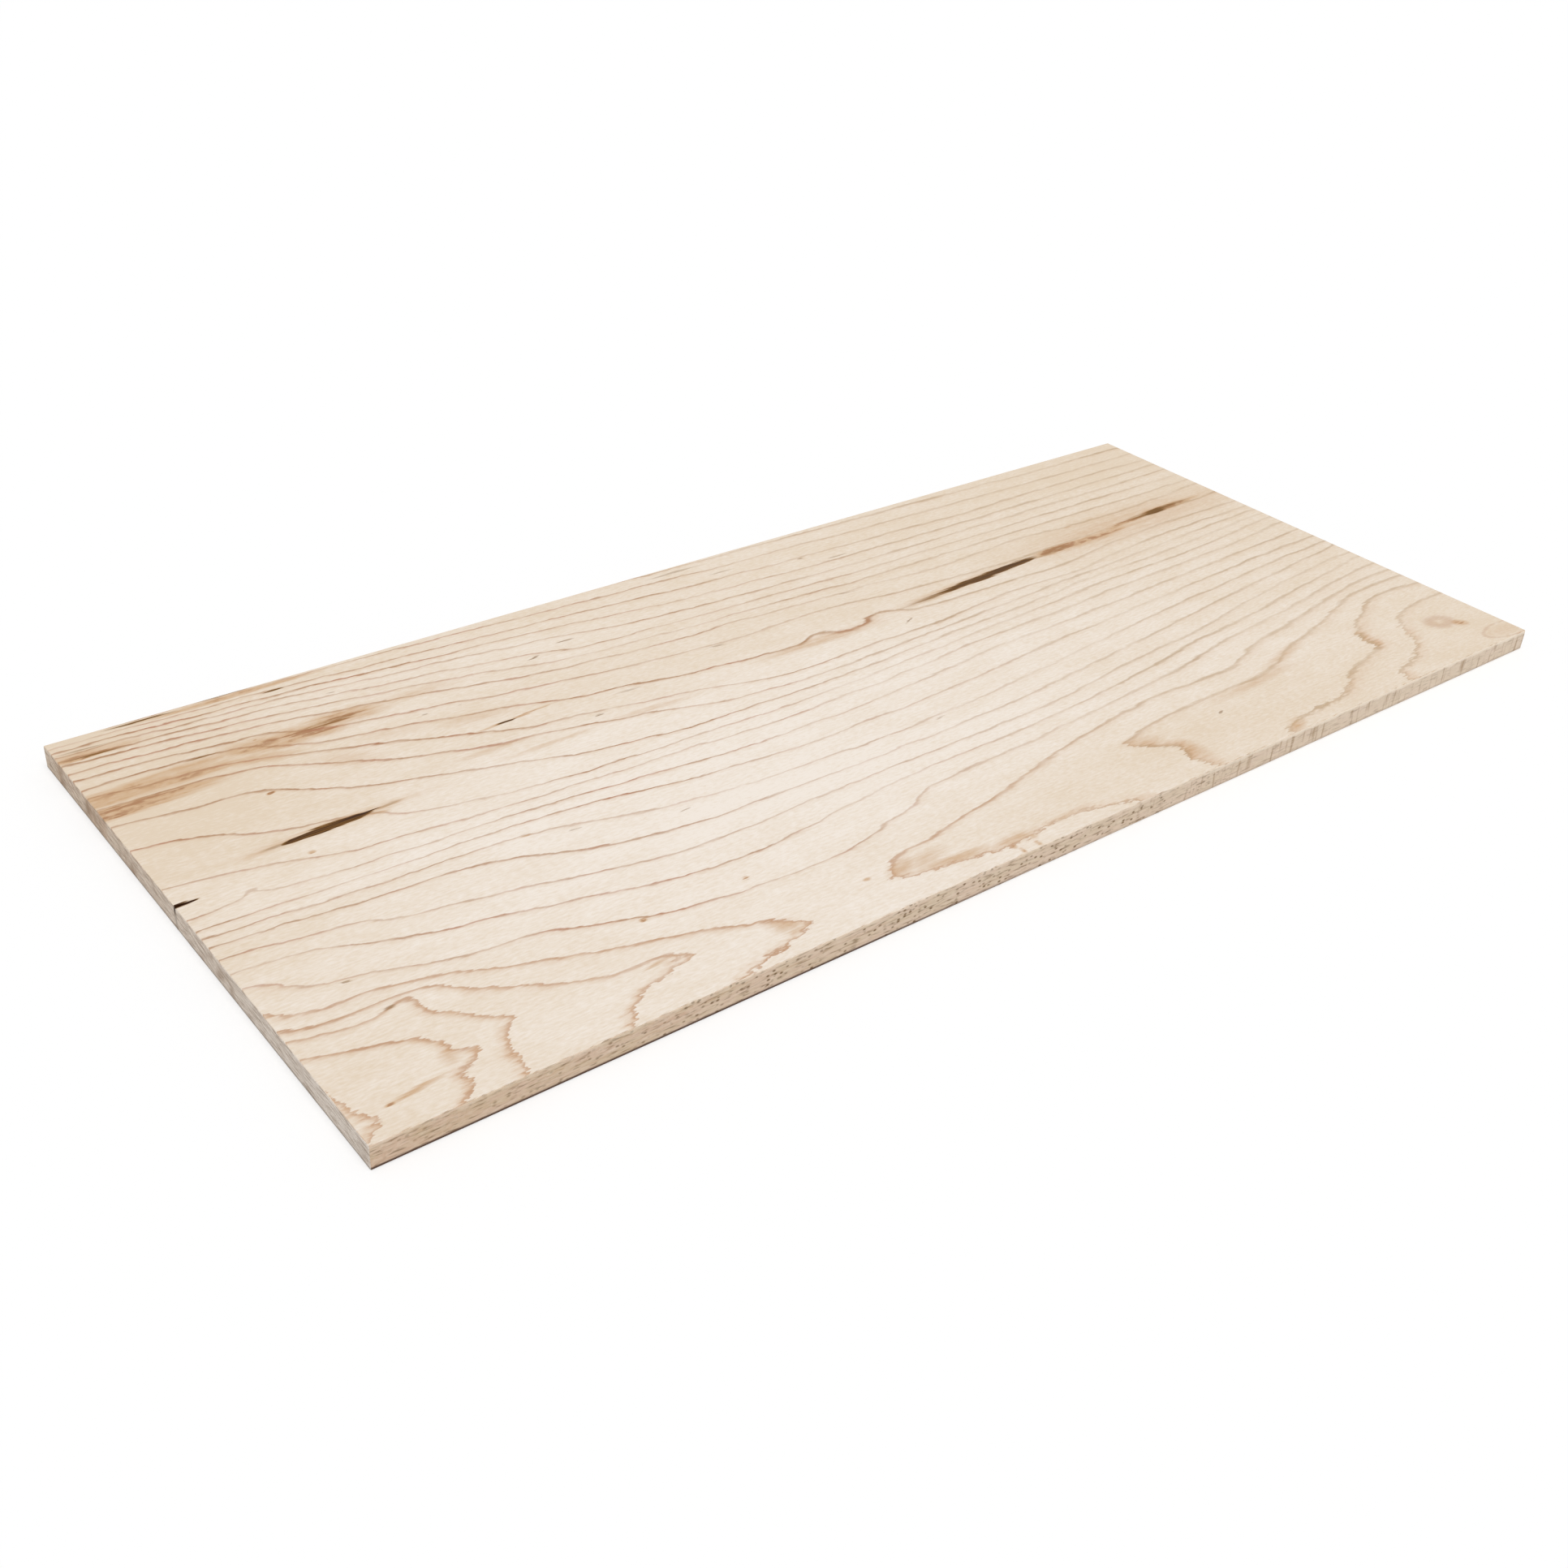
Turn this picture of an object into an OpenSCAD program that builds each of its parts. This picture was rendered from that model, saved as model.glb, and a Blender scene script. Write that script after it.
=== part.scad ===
// Thin sawn board: one plain-sawn piece of hardwood, planed on both faces and cut square.
// It lies flat with +Z up. X runs along the grain and Y across the width.
// The origin is the middle of the underside. The front edge is at -Y and the left end at -X.

/* [Board] */
// Length along the grain, between the two crosscut ends
board_length = 305; // [150:1:1200]
// Width across the grain, between the two sawn edges
board_width = 137; // [60:1:300]
// Thickness between the two planed faces
board_thickness = 5; // [3:0.5:25]

/* [Edges] */
// Flat taken off every sharp corner by a light pass with sandpaper
arris = 0.2; // [0.05:0.05:1]

/* [End check] */
// How far the drying crack runs in from the left end, along the grain
check_length = 4; // [2:0.5:30]
// How wide the crack is open at the end of the board
check_width = 0.6; // [0.2:0.1:3]
// How deep the crack goes below the upper face
check_depth = 2; // [0.5:0.1:2.5]
// Distance of the crack from the middle of the width, towards the back edge
check_offset = 3.8; // [-25:0.1:25]

/* [Hidden] */
maple = [0.90, 0.84, 0.74];
// The cutter for the crack starts this far outside the board, so that it cuts clean faces
overcut = 1;

// Rectangle about the origin with its four corners cut back at 45 degrees
module eased_rectangle(across, up) {
    polygon([
        for (corner = [[1, -1], [1, 1], [-1, 1], [-1, -1]])
            let (point = [corner.x * across / 2, corner.y * up / 2])
            let (along_x = point - [corner.x * arris, 0])
            let (along_y = point - [0, corner.y * arris])
            each corner.x == corner.y ? [along_y, along_x] : [along_x, along_y]
    ]);
}

// The sawn and planed stick: its section, its side view and its plan, each carried right through
module planed_stock() {
    translate([0, 0, board_thickness / 2])
        intersection() {
            rotate([90, 0, 90])
                linear_extrude(height = board_length, center = true)
                    eased_rectangle(board_width, board_thickness);
            rotate([90, 0, 0])
                linear_extrude(height = board_width, center = true)
                    eased_rectangle(board_length, board_thickness);
            linear_extrude(height = board_thickness, center = true)
                eased_rectangle(board_length, board_width);
        }
}

// Drying crack in the left end: a wedge, widest at the end and closing to nothing along the grain
module end_check() {
    spread = check_width * (check_length + overcut) / check_length;
    translate([-board_length / 2, check_offset, board_thickness - check_depth])
        linear_extrude(height = check_depth + overcut)
            polygon([[-overcut, -spread / 2], [check_length, 0], [-overcut, spread / 2]]);
}

module board() {
    color(maple)
        difference() {
            planed_stock();
            end_check();
        }
}

board();
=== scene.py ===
"""A thin board of plain-sawn maple, lying flat on a white studio floor.

Lengths are in millimetres, and MM turns them into the scene's metres. On the board, "along" is counted from
the left end, "across" from the front edge and "up" from the underside.
"""
import math

import bpy
import numpy as np
from mathutils import Matrix, Vector


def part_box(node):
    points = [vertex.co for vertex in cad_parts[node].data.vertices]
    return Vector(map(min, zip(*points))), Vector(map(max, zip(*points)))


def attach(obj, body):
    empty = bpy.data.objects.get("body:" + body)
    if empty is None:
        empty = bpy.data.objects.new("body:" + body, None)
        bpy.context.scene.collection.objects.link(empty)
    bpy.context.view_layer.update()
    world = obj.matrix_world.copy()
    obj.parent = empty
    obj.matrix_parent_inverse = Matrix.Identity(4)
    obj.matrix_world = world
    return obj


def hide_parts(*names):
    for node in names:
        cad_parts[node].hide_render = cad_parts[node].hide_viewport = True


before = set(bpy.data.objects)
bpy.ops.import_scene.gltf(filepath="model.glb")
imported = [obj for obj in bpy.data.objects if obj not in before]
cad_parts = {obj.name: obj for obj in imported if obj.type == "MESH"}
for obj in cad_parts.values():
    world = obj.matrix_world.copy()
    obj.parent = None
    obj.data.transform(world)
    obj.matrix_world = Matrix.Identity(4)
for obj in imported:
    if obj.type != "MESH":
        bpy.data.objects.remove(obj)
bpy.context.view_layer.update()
scene = bpy.context.scene
scene.view_settings.view_transform = "Standard"

# Camera: a short telephoto close to the left front corner, looking down on the upper face.
# It is tipped a little to one side, so the floor's level lines slope across the picture.
MM = 0.001
CAMERA_PLACE = Vector((-234.5, -257.1, 198.4))
CAMERA_AIM = Vector((-38.8, -23.8, 5.0))
CAMERA_TIP_DEG = 3.46
CAMERA_LENS = 41.73
CAMERA_SENSOR = 36.0
CAMERA_NEAREST = 10.0

camera_data = bpy.data.cameras.new("camera")
camera_data.sensor_width = CAMERA_SENSOR
camera_data.lens = CAMERA_LENS
camera_data.clip_start = CAMERA_NEAREST * MM
camera = bpy.data.objects.new("camera", camera_data)
scene.collection.objects.link(camera)
line_of_sight = CAMERA_AIM - CAMERA_PLACE
upright = line_of_sight.to_track_quat("-Z", "Y").to_matrix().to_4x4()
tipped = Matrix.Rotation(math.radians(CAMERA_TIP_DEG), 4, "Z")
camera.matrix_world = Matrix.Translation(CAMERA_PLACE * MM) @ upright @ tipped
scene.camera = camera

# Board, the wood's growth: a plain-sawn board is a slice through the yearly layers of the trunk, a little
# to one side of its heart. The layers show on the upper face as nested loops along the front edge and as
# long lines behind them. Years are counted from the innermost line that runs the whole length.
board_low, board_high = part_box("board")
LENGTH, WIDTH, THICKNESS = (board_high - board_low) / MM

# How far each year's line lies from the front edge, at stations along the board
GROWTH_STATIONS = (0, 15, 30, 45, 65, 85, 110, 145, 185, 235, 305)
GROWTH_LINES = (
    (45, 37.8, 33, 31, 24.6, 20.5, 20, 28.5, 30.5, 36.5, 44),
    (49.5, 48, 42, 38.5, 33.5, 29.5, 30.5, 33.5, 34.5, 40.5, 48.5),
    (54, 52, 48, 45, 40.5, 37, 37, 37.5, 38.5, 43.5, 51.5),
    (58, 57, 55.5, 55, 49, 44, 42.5, 42.5, 44, 49.5, 56.5),
    (61, 60, 59, 58.5, 57, 52, 48.5, 47.5, 50, 55, 59.5),
    (63.5, 63, 62.5, 62, 61.5, 59, 55.5, 54.5, 56.5, 60, 63),
    (67.5, 68.3, 66, 65.5, 64.5, 63, 60.5, 60, 63.5, 65, 68),
    (78.5, 76, 71.5, 70, 68, 67, 66, 65.5, 68, 70, 73.5),
    (93, 89.5, 83, 78.4, 72.5, 70, 69.5, 69, 71, 74, 77.5),
    (102, 100, 98, 89.5, 83, 77, 73, 72.5, 74.5, 77.5, 80),
    (109, 108.5, 107, 100, 91.5, 87.5, 82, 76, 77.5, 80, 83),
    (113.5, 112, 110, 105.5, 98, 90.5, 86.5, 79.5, 80, 82, 85.5),
    (117, 117, 116, 109, 105, 100.5, 94.5, 89.5, 89, 86.5, 89.5),
    (121, 120.5, 118.5, 114.5, 110, 106, 102, 99, 97.5, 95, 96.5),
    (124, 123, 122, 120.5, 116.5, 112, 108, 106, 104, 103.5, 103.5),
    (127.5, 126.5, 125, 123, 120, 116.5, 111, 109, 107, 107, 106.5),
    (129, 128, 127.5, 126.5, 123, 120, 114.5, 112.5, 111, 110.5, 110.5),
    (131, 131, 130, 129.5, 127, 125, 121.5, 116.5, 115, 115, 115),
    (133, 132.5, 131.5, 131, 129.5, 127.5, 125.5, 121.5, 119, 118.5, 119),
    (135, 134.5, 134, 133.5, 132, 131, 129.5, 126.5, 124.5, 122.5, 123),
    (138, 137, 137, 136.5, 136, 135, 133.5, 132, 130.5, 129, 128),
    (142, 141, 141, 140, 140, 139, 138, 136.5, 135.5, 134.5, 133),
)
# Lines that turn back on the face, at its left and its right, and a few kinks in lines that don't: the year,
# then points (along, across). A part of a year keeps the lines beside it in their place.
GROWTH_LOOPS = (
    (-1, ((0, 37), (2.6, 34.8), (7.6, 33.1), (15.4, 32.6), (21.2, 31.9), (28.4, 30), (35.4, 27.2),
          (40, 25.1), (47.4, 22.8), (56, 19.8), (62.5, 17.9), (69.2, 15.9), (75.6, 13.8), (80, 12),
          (83, 10.8), (86, 9.2), (87.8, 8), (89.2, 6.8), (88.4, 5.4), (86.2, 4.6), (83.1, 3.6),
          (79.6, 2.6), (75.3, 1.8), (71, 0.5))),
    (-1, ((170, 0.5), (164, 2), (157, 4.3), (146, 4), (134, 3.5), (128, 4.4), (122, 5.6), (117, 6.3),
          (112.8, 6.7), (111.2, 8.4), (113, 11.4), (117, 13.3), (124, 14), (135, 16), (148, 18.3),
          (161, 21.5), (175, 24.5), (202, 27.5), (230, 27.5), (240, 31), (258, 34), (280, 38),
          (305, 39.5))),
    (-2, ((0, 31.8), (6.5, 29.5), (14.2, 29.1), (20.2, 28.8), (24.7, 28.3), (30.8, 24.1), (37.1, 20.4),
          (43.5, 16.8), (49.4, 14.7), (53.8, 13.4), (58.2, 13.3), (61.8, 12.9), (63.7, 12.4),
          (63.5, 11), (65.6, 11.1), (66.2, 10.6), (64.8, 9.4), (62.6, 9.1), (59.7, 8.2), (56.3, 7.8),
          (52.8, 5.5), (48.5, 0.5))),
    (-2, ((193, 0.5), (190.5, 5), (192.2, 9.3), (191.7, 10.7), (188, 13), (185.6, 14.7), (183.9, 17.3),
          (189, 19), (194.3, 20.2), (220, 21), (234, 21.5), (247, 26), (265, 30), (283, 35.5),
          (305, 36))),
    (-3, ((0, 28.5), (5.9, 26.9), (10.6, 25.9), (14.4, 26.1), (17.2, 27), (20.1, 27.4), (22, 26.4),
          (22, 23.8), (23.9, 21.8), (27.4, 18.3), (31.1, 15.2), (32.6, 13.6), (30.2, 10.7), (29.5, 7.8),
          (28.9, 5), (28, 0.5))),
    (-3, ((218, 0.5), (219.3, 2.6), (224, 3.6), (233, 4.4), (239, 4.6), (245, 6.8), (248, 9),
          (253, 11.3), (260, 12.7), (264, 14), (267.2, 15.5), (266, 17.5), (267, 20), (269.5, 22.7),
          (271.5, 25), (277, 27.5), (290, 32), (305, 30.5))),
    (-4, ((0, 23.9), (6.4, 21.4), (12.7, 19.8), (16.5, 18.3), (19.8, 15.7), (21.7, 13.6), (21.4, 12.2),
          (22.1, 11.5), (23.3, 11.1), (23.5, 9.2), (22.4, 7.9), (20.9, 7.5), (19.8, 7.2), (19.9, 4.3),
          (18.2, 1.8), (16, 0.2))),
    (-4, ((259.5, 1), (261.8, 4.6), (267, 6), (272.3, 8), (276, 11), (278.2, 14), (279.4, 17),
          (281.4, 19.6), (285.5, 22), (291, 23.4), (298, 24.3), (305, 24))),
    (-5, ((0, 14), (1.4, 9), (3, 6), (4.1, 4.8), (2.9, 3.4), (1, 1))),
    (-4.6, ((290, 13), (300, 4))),
    (-4.12, ((22.3, 9.6),)),
    (-3.88, ((22.7, 13.1), (21.4, 6.5), (24.5, 11.4), (24.9, 10), (24.5, 8.6))),
    (12, ((147, 89.2), (153, 89), (158, 91), (161.5, 90.6), (164, 88.4), (170, 88.4), (174, 89.4),
          (178, 91.5), (184, 89.9))),
    (6, ((10, 67.8), (11.3, 68.7), (13.2, 69.8), (14.5, 69.2), (18, 67.1))),
    (8, ((20.5, 86.2), (24, 84.5), (37, 81.4), (42, 80.2), (44.3, 79.2), (47.3, 76.5), (51, 75.2))),
    (0, ((4, 43.8), (5.3, 43.2), (6, 41.9), (9, 39.8), (118, 21.6), (122, 23), (127, 23.6), (131, 24.7),
         (133.2, 26.3), (137, 27.6))),
)
# Fibres run along the board, so a length along the grain counts for less than one across it
GRAIN_SQUEEZE = 0.4
# The heart lies above the board: years gained for each millimetre down, at the front and at the back edge
YEARS_PER_MM_FRONT = 0.95
YEARS_PER_MM_BACK = 0.5
# A square distance too small to matter, which keeps the logarithm of nothing away
LEAST_SQUARE = 1e-9


def growth_of_face():
    """Gives the year count of the upper face as a function of along and across.

    It is a thin-plate spline: a tilted plane plus a sum of r² log r about every known point, with the
    weights solved so that each point lies on its own year's line.
    """
    lines = [(along, across, year) for year, row in enumerate(GROWTH_LINES)
             for along, across in zip(GROWTH_STATIONS, row)]
    loops = [(along, across, year) for year, points in GROWTH_LOOPS for along, across in points]
    known = np.array(lines + loops, float)
    squeeze = np.array((GRAIN_SQUEEZE, 1.0))
    centres = known[:, :2] * squeeze

    def swell(points):
        """From each point to every known one: r² log r, as half of r² times the logarithm of r²."""
        square = ((points[:, None] - centres[None]) ** 2).sum(-1)
        return 0.5 * square * np.log(square + LEAST_SQUARE)

    plane = np.c_[np.ones(len(centres)), centres]
    system = np.block([[swell(centres), plane], [plane.T, np.zeros((3, 3))]])
    weights = np.linalg.solve(system, np.r_[known[:, 2], 0, 0, 0])

    def year_count(along, across):
        """The sum of all swells and of the plane at each place, by their weights."""
        points = np.stack([along, across], -1) * squeeze
        return np.c_[swell(points), np.ones(len(points)), points] @ weights

    return year_count


# Board, the stick itself: sawn from the trunk, planed on both faces, cut square and eased with sandpaper.
# One closed skin covers it, with a drying crack in the left end and small chips along the upper corners.
ARRIS = 0.2
# Grid lines lie closer where the growth lines turn back: the share of the lines, and how far they have come
GRID_ALONG = 312
GRID_ALONG_PACE = ((0, 0.4, 0.6, 1), (0, 100, 180, LENGTH))
GRID_ACROSS = 131
GRID_ACROSS_PACE = ((0, 0.4, 1), (0, 40, WIDTH))
GRID_UP = 6
GRID_UP_PACE = ((0, 1), (0, THICKNESS))
CRACK_ACROSS = 72.3
CRACK_LENGTH = 4.0
CRACK_WIDTH = 0.6
CRACK_DEPTH = 2.0
CRACK_LIP_LEAST = 0.03
CHIP_DEPTH = 0.16
CHIP_SEED = 12
# How deep the back corner's chips are, as a share of the front corner's
BACK_CHIPS = 0.6


def eased_lines(reach, count, pace):
    """Grid lines from 0 to reach: one at each end, and count more between the eased corners.

    The pace says how far the lines have come at each share of their number, with straight runs between.
    """
    share, come = np.array(pace)
    spread = np.interp(np.linspace(0, 1, count), share, come / come[-1])
    return np.r_[0, ARRIS + (reach - 2 * ARRIS) * spread, reach]


def chip_depths(count):
    """How deep the corner is chipped at each grid line: an even draw, cubed, so only a few break deep."""
    draws = np.random.default_rng(CHIP_SEED).random(count)
    return CHIP_DEPTH * draws ** 3


def quads_of(sheet):
    """The quads of a rectangular sheet of point numbers, facing along its first axis times its second."""
    corners = (sheet[:-1, :-1], sheet[1:, :-1], sheet[1:, 1:], sheet[:-1, 1:])
    return np.stack(corners, -1).reshape(-1, 4)


def board_skin():
    """Points of the whole lattice, and its six outer sheets of point numbers.

    A point is (along, across, share of the height) on straight grid lines. Points on an outer edge move in
    by half an arris in each direction that ends there, which makes the 45-degree flat, and by the depth of
    a chip. The upper face sinks to a V along the crack, whose lips close in evenly from the end. The V has
    its full depth for half that length, and then rises. Rows below it sink in proportion.
    """
    lip = CRACK_WIDTH / 2
    regular = eased_lines(WIDTH, GRID_ACROSS, GRID_ACROSS_PACE)
    clear = regular[np.abs(regular - CRACK_ACROSS) > 2 * lip]
    across_lines = np.sort(np.r_[clear, CRACK_ACROSS + lip * np.array((-1, 0, 1))])
    crack_line = int(np.searchsorted(across_lines, CRACK_ACROSS - lip / 2))
    along_lines = eased_lines(LENGTH, GRID_ALONG, GRID_ALONG_PACE)
    up_lines = eased_lines(THICKNESS, GRID_UP, GRID_UP_PACE)
    along, across, up = np.meshgrid(along_lines, across_lines, up_lines, indexing="ij")

    left = np.clip(1 - along_lines / CRACK_LENGTH, -1, 1)
    lips = np.maximum(lip * np.abs(left), CRACK_LIP_LEAST)[:, None]
    across[:, crack_line - 1] = CRACK_ACROSS - lips
    across[:, crack_line + 1] = CRACK_ACROSS + lips
    height = np.full(along.shape[:2], THICKNESS)
    height[:, crack_line] -= CRACK_DEPTH * np.clip(2 * left, 0, 1)

    ends_along = np.sign(along / LENGTH - 0.5) * np.isin(along, (0, LENGTH))
    ends_across = np.sign(across / WIDTH - 0.5) * np.isin(across, (0, WIDTH))
    ends_up = np.sign(up / THICKNESS - 0.5) * np.isin(up, (0, THICKNESS))
    on_edge = np.abs(ends_along) + np.abs(ends_across) + np.abs(ends_up) > 1
    ease = np.where(on_edge, ARRIS / 2, 0.0)
    chips = chip_depths(len(along_lines))
    ease[:, 0, -1] += chips
    ease[:, -1, -1] += BACK_CHIPS * chips
    up = up * (height / THICKNESS)[:, :, None] - ease * ends_up
    along = along - ease * ends_along
    across = across - ease * ends_across

    points = np.stack([along, across, up], -1).reshape(-1, 3)
    number = np.arange(len(points)).reshape(along.shape)
    sheets = {
        "upper": number[:, :, -1],
        "under": number[:, :, 0].T,
        "front": number[:, 0, :],
        "back": number[:, -1, :].T,
        "left": number[0].T,
        "right": number[-1],
    }
    return points, sheets


# Where each side lies on the paint map: its low left corner and its size there, the direction of the side
# that runs to the right and the one that runs upwards, each forwards (True) or backwards, and its finish
ALONG, ACROSS, UP = 0, 1, 2
PLANED, SAWN, CROSSCUT = 0, 1, 2
MAP_PLACES = {
    "upper": ((0.005, 0.360), (0.99, 0.635), ((ALONG, True), (ACROSS, True)), PLANED),
    "under": ((0.005, 0.115), (0.99, 0.235), ((ALONG, True), (ACROSS, False)), PLANED),
    "front": ((0.005, 0.078), (0.99, 0.030), ((ALONG, True), (UP, True)), SAWN),
    "back": ((0.005, 0.041), (0.99, 0.030), ((ALONG, False), (UP, True)), SAWN),
    "left": ((0.005, 0.005), (0.49, 0.030), ((ACROSS, False), (UP, True)), CROSSCUT),
    "right": ((0.505, 0.005), (0.49, 0.030), ((ACROSS, True), (UP, True)), CROSSCUT),
}

skin_points, skin_sheets = board_skin()
side_quads = {side: quads_of(sheet) for side, sheet in skin_sheets.items()}
used, flat_quads = np.unique(np.concatenate(list(side_quads.values())), return_inverse=True)
board_quads = flat_quads.reshape(-1, 4)
board_points = skin_points[used]
# The origin is the middle of the underside
origin_place = np.array((LENGTH / 2, WIDTH / 2, 0.0))

board_mesh = bpy.data.meshes.new("board_skin")
board_mesh.from_pydata((board_points - origin_place) * MM, [], board_quads)

map_corners = []
finish_numbers = []
shares = skin_points / (LENGTH, WIDTH, THICKNESS)
for side, quads in side_quads.items():
    map_corner, map_size, directions, finish_number = MAP_PLACES[side]
    come = [shares[quads.ravel(), axis] if forwards else 1 - shares[quads.ravel(), axis]
            for axis, forwards in directions]
    map_corners.append(np.array(map_corner) + np.array(map_size) * np.stack(come, -1))
    finish_numbers.append(np.full(len(quads), finish_number))
map_layer = board_mesh.uv_layers.new(name="OFBake")
map_layer.data.foreach_set("uv", np.concatenate(map_corners).ravel().astype(np.float32))
board_mesh.polygons.foreach_set("material_index", np.concatenate(finish_numbers).astype(np.int32))

# The years at each point, and how many more there are a millimetre farther along, across and up
SLOPE_STEP = 0.5
year_count = growth_of_face()
point_along, point_across, point_up = board_points.T
face_years = year_count(point_along, point_across)
years_along = (year_count(point_along + SLOPE_STEP, point_across) - face_years) / SLOPE_STEP
years_across = (year_count(point_along, point_across + SLOPE_STEP) - face_years) / SLOPE_STEP
years_down = np.interp(point_across, (0, WIDTH), (YEARS_PER_MM_FRONT, YEARS_PER_MM_BACK))
growth = face_years + (THICKNESS - point_up) * years_down
growth_slope = np.stack([years_along, years_across, -years_down], -1)
growth_layer = board_mesh.attributes.new("growth", "FLOAT", "POINT")
growth_layer.data.foreach_set("value", growth.astype(np.float32))
slope_layer = board_mesh.attributes.new("growth_slope", "FLOAT_VECTOR", "POINT")
slope_layer.data.foreach_set("vector", growth_slope.ravel().astype(np.float32))
board_mesh.update()
board = bpy.data.objects.new("maple_board", board_mesh)
scene.collection.objects.link(board)


# Board, the finish: bare maple, planed and lightly sanded. Pale cream wood has a thin reddish-brown line
# where each year's growth ended and soft tan wood before it, and fine fibres, mineral streaks and stains.
class Signal:
    """An output socket of a material's nodes. Arithmetic on signals adds Math nodes to the material."""

    def __init__(self, tree, socket=None):
        self.tree = tree
        self.socket = socket

    def node(self, kind, settings=None, inputs=None, output=0):
        """Adds a node: its settings first, then the number, colour or link of each socket named."""
        made = self.tree.nodes.new("ShaderNode" + kind)
        for name, setting in (settings or {}).items():
            setattr(made, name, setting)
        sockets = {socket.identifier: socket for socket in made.inputs}
        for name, value in (inputs or {}).items():
            if isinstance(value, Signal):
                self.tree.links.new(value.socket, sockets[name])
            else:
                sockets[name].default_value = value
        return Signal(self.tree, made.outputs[output])

    def beside(self, name):
        """Another output of the node that this signal comes from."""
        return Signal(self.tree, self.socket.node.outputs[name])

    def axis(self, number):
        """One of a vector's three parts: along, across or up."""
        return self.node("SeparateXYZ", {}, {"Vector": self}, number)

    def math(self, operation, *values):
        """A Math node's result for one or two signals or numbers."""
        return self.node("Math", {"operation": operation}, dict(zip(("Value", "Value_001"), values)))

    def __add__(self, other):
        return self.math("ADD", self, other)

    def __sub__(self, other):
        return self.math("SUBTRACT", self, other)

    def __rsub__(self, other):
        return self.math("SUBTRACT", other, self)

    def __mul__(self, other):
        return self.math("MULTIPLY", self, other)

    def __truediv__(self, other):
        return self.math("DIVIDE", self, other)

    def __rtruediv__(self, other):
        return self.math("DIVIDE", other, self)

    def __pow__(self, other):
        return self.math("POWER", self, other)

    def __rpow__(self, other):
        return self.math("POWER", other, self)

    __radd__ = __add__
    __rmul__ = __mul__

    def fade(self, start, end, low=0.0, high=1.0):
        """Smooth step from low to high as this goes from start to end."""
        return self.node("MapRange", {"interpolation_type": "SMOOTHSTEP"}, {
            "Value": self, "From Min": start, "From Max": end, "To Min": low, "To Max": high})


def paint(red, green, blue):
    """A colour as a screen shows it, 0 to 255, in the linear values that a shader takes.

    The screen's curve is straight near black, and above that a power of 2.4.
    """
    screen = np.array((red, green, blue)) / 255
    linear = np.where(screen <= 0.04045, screen / 12.92, ((screen + 0.055) / 1.055) ** 2.4)
    return (*linear.tolist(), 1.0)


def lay(under, colour, amount):
    """Paints a colour over the one under it: amount of the colour, and the rest of the one under it."""
    maker = amount if isinstance(amount, Signal) else under
    return maker.node("Mix", {"data_type": "RGBA"}, {
        "Factor_Float": amount, "A_Color": under, "B_Color": colour}, 2)


def grain_noise(place, lump, detail=2.0, seed=0.0):
    """Noise from 0 to 1. Its lumps are so long along the grain and so thick across it, in millimetres."""
    along, across = lump
    stretched = place.node("Mapping", {}, {
        "Vector": place, "Location": (seed, seed, seed), "Scale": (1 / along, 1 / across, 1 / across)})
    return place.node("TexNoise", {}, {"Vector": stretched, "Scale": 1.0, "Detail": detail})


def swing(place, lump, detail=2.0, seed=0.0):
    """The same noise to both sides of nothing, from -0.5 to 0.5."""
    return grain_noise(place, lump, detail, seed) - 0.5


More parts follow.
